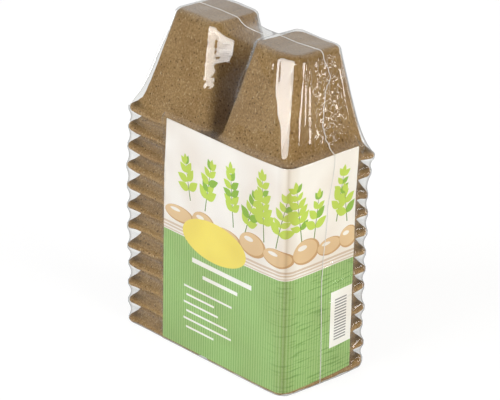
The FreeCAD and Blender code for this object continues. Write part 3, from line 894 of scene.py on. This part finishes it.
def wallHalf(z):
    # half width of the topmost pots at a height of the pack
    return potForm["neckHalf"] - potForm["slope"] * max(0.0, z - pack["topRim"] - potForm["neckHeight"])


def alongCard(x, y):
    # 1 where the card stands on the plan, 0 past its two upright edges
    if y < 0 and abs(y) > pack["rimHalf"] - 8:
        return smoothStep(*filmForm["cardLeft"], x - cardLow.x)
    return smoothStep(*filmForm["cardEnd"], y - cardHigh.y) * (x > 0)


def overCard(x, y, z):
    # 1 where the card lies under the film, 0 elsewhere
    return alongCard(x, y) * smoothStep(*filmForm["cardTop"], z - cardHigh.z)


def heldShare(x, y, z, halfX, halfY):
    # 1 where the film keeps the outline of the top rims or the card's edge, running out above
    edge = cardHigh.z + cardForm["endRise"] * smoothStep(-20, 15, y) * (x > 40) + 0.5
    overEdge = alongCard(x, y) * math.exp(-max(0.0, z - edge) / filmForm["cardTentRise"])
    tents = 0.0
    for (signX, signY), reach in filmForm["tents"].items():
        u = (1 + signX * clamp(x / halfX, -1, 1)) / 2
        v = (1 + signY * clamp(y / halfY, -1, 1)) / 2
        tents += u * v * math.exp(-max(0.0, z - hoodFoot) / reach)
    return max(tents, overEdge)


def standOff(x, y, z, outX, outY, halfX, halfY):
    # how far the film stands off the top pots: more at the front left corner, and a crown
    # along the right pot's front, so that the corner is rounder
    form, radius = filmForm, filmForm["hoodRound"]
    stand = form["leftStand"] * (1 - 0.9 * smoothStep(*form["leftStandFades"], z))
    gap = form["clearTop"] + stand * clamp(-x / halfX) * clamp(-y / halfY)
    if outY < -0.01 and x > 0:
        crown = form["crown"] * smoothStep(*form["crownGrows"], z)
        if outX < 0.001:
            inward = 1.25 - math.exp(-(halfX - radius - x) / 6)
            gap += crown * inward * smoothStep(*form["crownFrom"], x)
        else:
            gap += crown * 0.25 * math.exp(-math.atan2(outX, -outY) * radius / 1.5)
    return gap


def valleyPull(x, y, z, half):
    # the front and back of the film run from one pot's corner straight back to the next pot's
    # corner, and follow that corner round
    form = filmForm
    valley, corner, lead = pack["stackX"] - half, form["valleyCorner"], form["valleyLead"]
    deep = form["valleyPull"] * smoothStep(*form["valleyDeepens"], z)
    u = x if y < 0 else -x
    if u < -valley - lead or u > valley + corner:
        return 0.0
    if u > valley:
        return min(deep, corner - math.sqrt(max(0.0, corner ** 2 - (valley + corner - u) ** 2)))
    share = min(1.0, (u + valley + lead) / (valley * 1.3))
    return deep * (1 - (1 - share) ** 2)


def fanCreases(y, z, fan):
    middleY, middleZ, proud, width, reach, turns = fan
    out = 0.0
    for turn in turns:
        cos, sin = math.cos(math.radians(turn)), math.sin(math.radians(turn))
        along = (y - middleY) * cos + (z - middleZ) * sin
        across = (z - middleZ) * cos - (y - middleY) * sin
        if along > 0:
            out += proud * hump(across, 0, width) * math.exp(-along / reach)
    return out


def endCreases(y, z):
    # the right end above the top rims
    form = filmForm["creases"]
    share = y / max(wallHalf(z), 1)
    near = hump(share, form["crumpleMiddle"], form["crumpleSpread"])
    near *= within(z, *form["crumpleWithin"])
    coarse = abs(noiseAt(y / form["crumpleLength"], z / form["crumpleLength"], 4.2))
    fine = abs(noiseAt(y / form["crumpleFine"][0], z / form["crumpleFine"][1], 9.1))
    out = near * form["crumple"] * (0.8 - 2.2 * (coarse + 0.5 * fine))
    for place, proud, low, high in form["endStreaks"]:
        out += proud * hump(share, place, 0.028) * within(z, low, high, 10, 8)
    return out + fanCreases(y, z, form["upperFan"])


def cardCreases(x, y, z):
    # level ripples and a fan over the card's end
    form = filmForm["creases"]
    bent = 2.5 * noiseAt(y / 7, z / 20, 1.7)
    ripple = math.sin(z * 2 * math.pi / form["rippleLength"] + bent)
    patch = max(0.0, noiseAt(y / 10, z / 14, 7.7) + 0.35) * smoothStep(70, 60, z)
    return overCard(x, y, z) * form["cardRipple"] * ripple * patch + fanCreases(y, z, form["lowerFan"])


def creases(x, y, z, outX, outY):
    # how far the film's creases stand out, in mm
    form = filmForm["creases"]
    out = form["sway"] * noise.noise(Vector((x, y, z)) / form["swayLength"])
    if outX > 0.7 and z > hoodFoot:
        out += endCreases(y, z)
    if outX > 0.7 and z < cardHigh.z:
        out += cardCreases(x, y, z)
    if outY < -0.9 and -16 < x < -2 and z > 140:
        # slanting creases where the film turns in to the saddle
        torn = noiseAt((x * 1.5 - z) / 2.0, (x + z) / 14, 8.5)
        out += form["torn"] * torn * within(z, 141, 172, 5, 4) * smoothStep(-3, -7, x)
    if outY < -0.9 and x > 20 and z > 150:
        for place, proud, low in form["shortCreases"]:
            out += proud * hump(x - (175 - z) * 0.22, place, 0.4) * within(z, low, 173, 6, 4)
    return out


def undersidePoint(place, level):
    inset = filmForm["footInset"]
    x, y = planPoint(place, fullX - inset, fullY - inset, rimRound)[:2]
    x *= 1 - 0.22 * (1 - level)
    y *= level
    return x, y, 0.06 + 0.05 * noiseAt(x / 8, y / 8, 3.3)


def sidePoint(place, z):
    # drawn in between the rims, level over the card
    form = filmForm
    foot = form["clearRim"] - form["footInset"] * smoothStep(form["footRise"], 0, z)
    x, y, outX, outY = planPoint(place, fullX + foot, fullY + foot, rimRound)
    step = (z - pack["floor"]) / pack["pitch"]
    rim, lip = math.floor(step), form["lip"] / pack["pitch"]
    between = max(0.0, (step - rim - lip) / (1 - lip))
    card = overCard(x, y, z)
    depth = form["scallop"] * (1 + 0.5 * noiseAt(x / 17, y / 17, rim * 3.7))
    inward = depth * math.sin(math.pi * between) * (1 - card) * (z < pack["topRim"])
    out = card * (form["clearCard"] + form["cardProud"] - form["clearRim"]) - inward
    out += creases(x, y, z, outX, outY)
    return x + outX * out, y + outY * out, z


def hoodPoint(place, part, level):
    # the walls of the hood, and then its top: round the edge and in to the middle line
    form = filmForm
    z = hoodTop if part == "top" else hoodFoot + level * (hoodTop - hoodFoot)
    half = wallHalf(z)
    halfX, halfY = pack["stackX"] + half, half
    x, y, outX, outY = planPoint(place, halfX, halfY, form["hoodRound"])
    held = heldShare(x, y, z, halfX, halfY)
    gap = standOff(x, y, z, outX, outY, halfX, halfY) * (1 - held)
    pull = valleyPull(x, y, z, half) if abs(outY) >= 0.9 else 0.0
    valley = pack["stackX"] - half + 0.6
    inValley = max(0.0, 1 - (x / valley) ** 4)
    soften = inValley * inValley / (inValley + 0.12)
    if part == "hood":
        gap += creases(x, y, z, outX, outY)
    rimX, rimY = planPoint(place, fullX + form["clearRim"], fullY + form["clearRim"], rimRound)[:2]
    offCard = form["clearCard"] * alongCard(x, y)
    x = x * (1 - held) + (rimX + outX * offCard) * held
    y = y * (1 - held) + (rimY + outY * offCard) * held
    if part == "hood":
        dip = (form["saddleDip"] + form["saddleEdgeDip"]) * soften * smoothStep(*form["saddleDeepens"], z)
        return x + outX * gap, y + outY * gap - math.copysign(pull, y), z - dip
    rounded = min(1.0, level / form["edgeShare"])
    inset = form["edge"] * (1 - math.cos(rounded * math.pi / 2))
    rise = form["edge"] * math.sin(rounded * math.pi / 2) + form["clearTop"] * rounded
    inward = max(0.0, (level - form["edgeShare"]) / (1 - form["edgeShare"]))
    narrowed = 1 - form["topNarrows"] * inward * smoothStep(valley, halfX, abs(x))
    x = (x + outX * (gap * (1 - inward) - inset)) * narrowed
    y = (y + outY * (gap - inset) - math.copysign(pull, y)) * (1 - inward)
    dip = (form["saddleDip"] + form["saddleEdgeDip"] * (1 - inward) ** 2) * soften
    return x, y, z + rise - dip + 0.08 * noiseAt(x / 6, y / 6, 2.0)


def filmPoint(place, part, level):
    # part is "bottom", "side", "hood" or "top"; level runs 0 to 1 in it, or is a height for "side"
    if part == "bottom":
        return undersidePoint(place, level)
    return sidePoint(place, level) if part == "side" else hoodPoint(place, part, level)


def filmLevels():
    form = filmForm
    levels = [("bottom", k / form["bottomSteps"]) for k in range(form["bottomSteps"] + 1)]
    levels += [("side", form["footRise"] * share) for share in (0.25, 0.55, 1.0)]
    heights = []
    for rim in range(12):
        foot = pack["floor"] + rim * pack["pitch"]
        shares = (0.19, 0.27, 0.37, 0.48, 0.6, 0.72, 0.83, 0.93) if rim < 11 else ()
        heights += [foot + 0.1, foot + 1.1, foot + 2.0] + [foot + pack["pitch"] * share for share in shares]
    levels += [("side", height) for height in heights if height > form["footRise"] + 0.4]
    hoodTall = hoodTop - hoodFoot
    cardShares = [(cardHigh.z + 0.25 * k - hoodFoot) / hoodTall for k in range(form["cardEdgeSteps"])]
    hoodShares = [k / form["hoodSteps"] for k in range(1, form["hoodSteps"] + 1)]
    hoodShares = [share for share in hoodShares if not cardShares[0] - 0.008 < share < cardShares[-1] + 0.008]
    levels += [("hood", share) for share in sorted(hoodShares + cardShares)]
    edge = form["edgeShare"]
    levels += [("top", edge * k / form["edgeSteps"]) for k in range(1, form["edgeSteps"] + 1)]
    levels += [("top", edge + (1 - edge) * k / form["topSteps"]) for k in range(1, form["topSteps"] + 1)]
    return levels


def makeFilm(material):
    places, levels = roundPlaces(filmForm["steps"], filmForm["cornerSteps"]), filmLevels()
    film, turns, rings = rolledSheet("shrinkFilm", len(places), len(levels))
    shaped = {(turn, ring): settle(filmPoint(place, part, level))
              for ring, (part, level) in enumerate(levels) for turn, place in enumerate(places)}
    writeShape(film, [shaped[key] for key in zip(turns, rings)])
    closeAndTurnOut(film, 0.004)
    ridePack(film, material, "clear_film", "film_underside", "film_sides", "film_hood")


def makeShrinkFilm():
    # polyolefin shrink film, drawn tight: clear and glossy, two faces that mirror together, and
    # a little greyer where it is seen along its surface
    material, add = newMaterial("Clear polyolefin shrink film")
    facing = add("LayerWeight", {"Blend": 0.5}).outputs["Facing"]
    steep = add("Math", {"operation": "POWER", 1: 4.2}, {0: facing})
    mirror = add("Math", {"operation": "MULTIPLY_ADD", 1: 0.93, 2: 0.05}, {0: steep})
    grey = add("Math", {"operation": "POWER", 1: 2.2}, {0: facing})
    tint = add("ValToRGB", {"stops": [(0.0, "#FDFDFC"), (1.0, "#BCBDBD")]}, {"Fac": grey})
    clear = add("BsdfTransparent", links={"Color": tint})
    gloss = add("BsdfGlossy", {"Roughness": 0.05, "Color": white})
    mix = add("MixShader", links={0: mirror, 1: clear, 2: gloss})
    add("OutputMaterial", links={"Surface": mix})
    return material


makeFilm(makeShrinkFilm())
print("shrink film made")

# the welded seam: a narrow bead along the film's middle line, crooked where the film crumpled

seamForm = {
    "around": 6, "wide": 0.25, "proud": 0.16, "overSteps": 60, "leftShare": 0.3,
    # sideways wander on the end face: height, mm
    "wander": [(9, -4.3), (61, -5.6), (95, -3.4), (122, 0.2), (129, -0.5), (133, -1.6), (139, -2.7),
               (147, -1.5), (151, -0.2), (157, 1.7), (161, 4.6), (165.4, 3.9), (169.6, 1.8), (175, 0.5)],
}


def seamWander(z):
    stops = seamForm["wander"]
    for (lowZ, low), (highZ, high) in zip(stops, stops[1:]):
        if lowZ < z <= highZ:
            return low + (high - low) * smoothStep(lowZ, highZ, z)
    return stops[0][1] if z <= stops[0][0] else stops[-1][1]


def seamPoint(side, share, part, level):
    # a point of the film, off its middle by a share of the wander
    z = level if part == "side" else hoodFoot + level * (hoodTop - hoodFoot) if part == "hood" else hoodTop
    flat = (pack["rimHalf"] if part == "side" else wallHalf(z)) - filmForm["hoodRound"]
    return filmPoint((side, 0.5 + share * seamWander(z) / 2 / flat), part, level)


def seamPath():
    # up the left end, over the tops and down the right end
    left, steps = seamForm["leftShare"], seamForm["overSteps"]
    levels = [(part, level) for part, level in filmLevels()
              if part in ("side", "hood") or (part == "top" and level <= filmForm["edgeShare"])]
    rising = [seamPoint("left", left, *level) for level in levels]
    over = [filmPoint(("front", k / steps), "top", 1.0) for k in range(1, steps)]
    falling = [seamPoint("right", 1.0, *level) for level in reversed(levels)]
    return [Vector(settle(point)) for point in rising + over + falling]


def makeSeam(material):
    form = seamForm
    path = seamPath()
    seam, turns, rings = rolledSheet("weldedSeam", form["around"], len(path))
    across = Vector((0, 1, 0))
    outs = [(path[min(k + 1, len(path) - 1)] - path[max(k - 1, 0)]).normalized().cross(across).normalized()
            for k in range(len(path))]
    coords = []
    for turn, ring in zip(turns, rings):
        angle = 2 * math.pi * turn / form["around"]
        wide, proud = form["wide"] * math.cos(angle), form["proud"] * math.sin(angle)
        coords.append(tuple(path[ring] + across * wide + outs[ring] * proud))
    writeShape(seam, coords)
    closeAndTurnOut(seam, 0.004, capEnds=True)
    ridePack(seam, material, "clear_film", "film_seam")


def makeWeld():
    # the film's own edges melted into one bead: milky where they run together
    material, add = newMaterial("Melted film weld, milky")
    milky = add("BsdfPrincipled", {"Base Color": "#F4F2EE", "Roughness": 0.3, "IOR": 1.5})
    clear = add("BsdfTransparent", {"Color": "#F9F9F9"})
    mix = add("MixShader", {0: 0.7}, {1: clear, 2: milky})
    add("OutputMaterial", links={"Surface": mix})
    return material


makeSeam(makeWeld())
print("seam made")
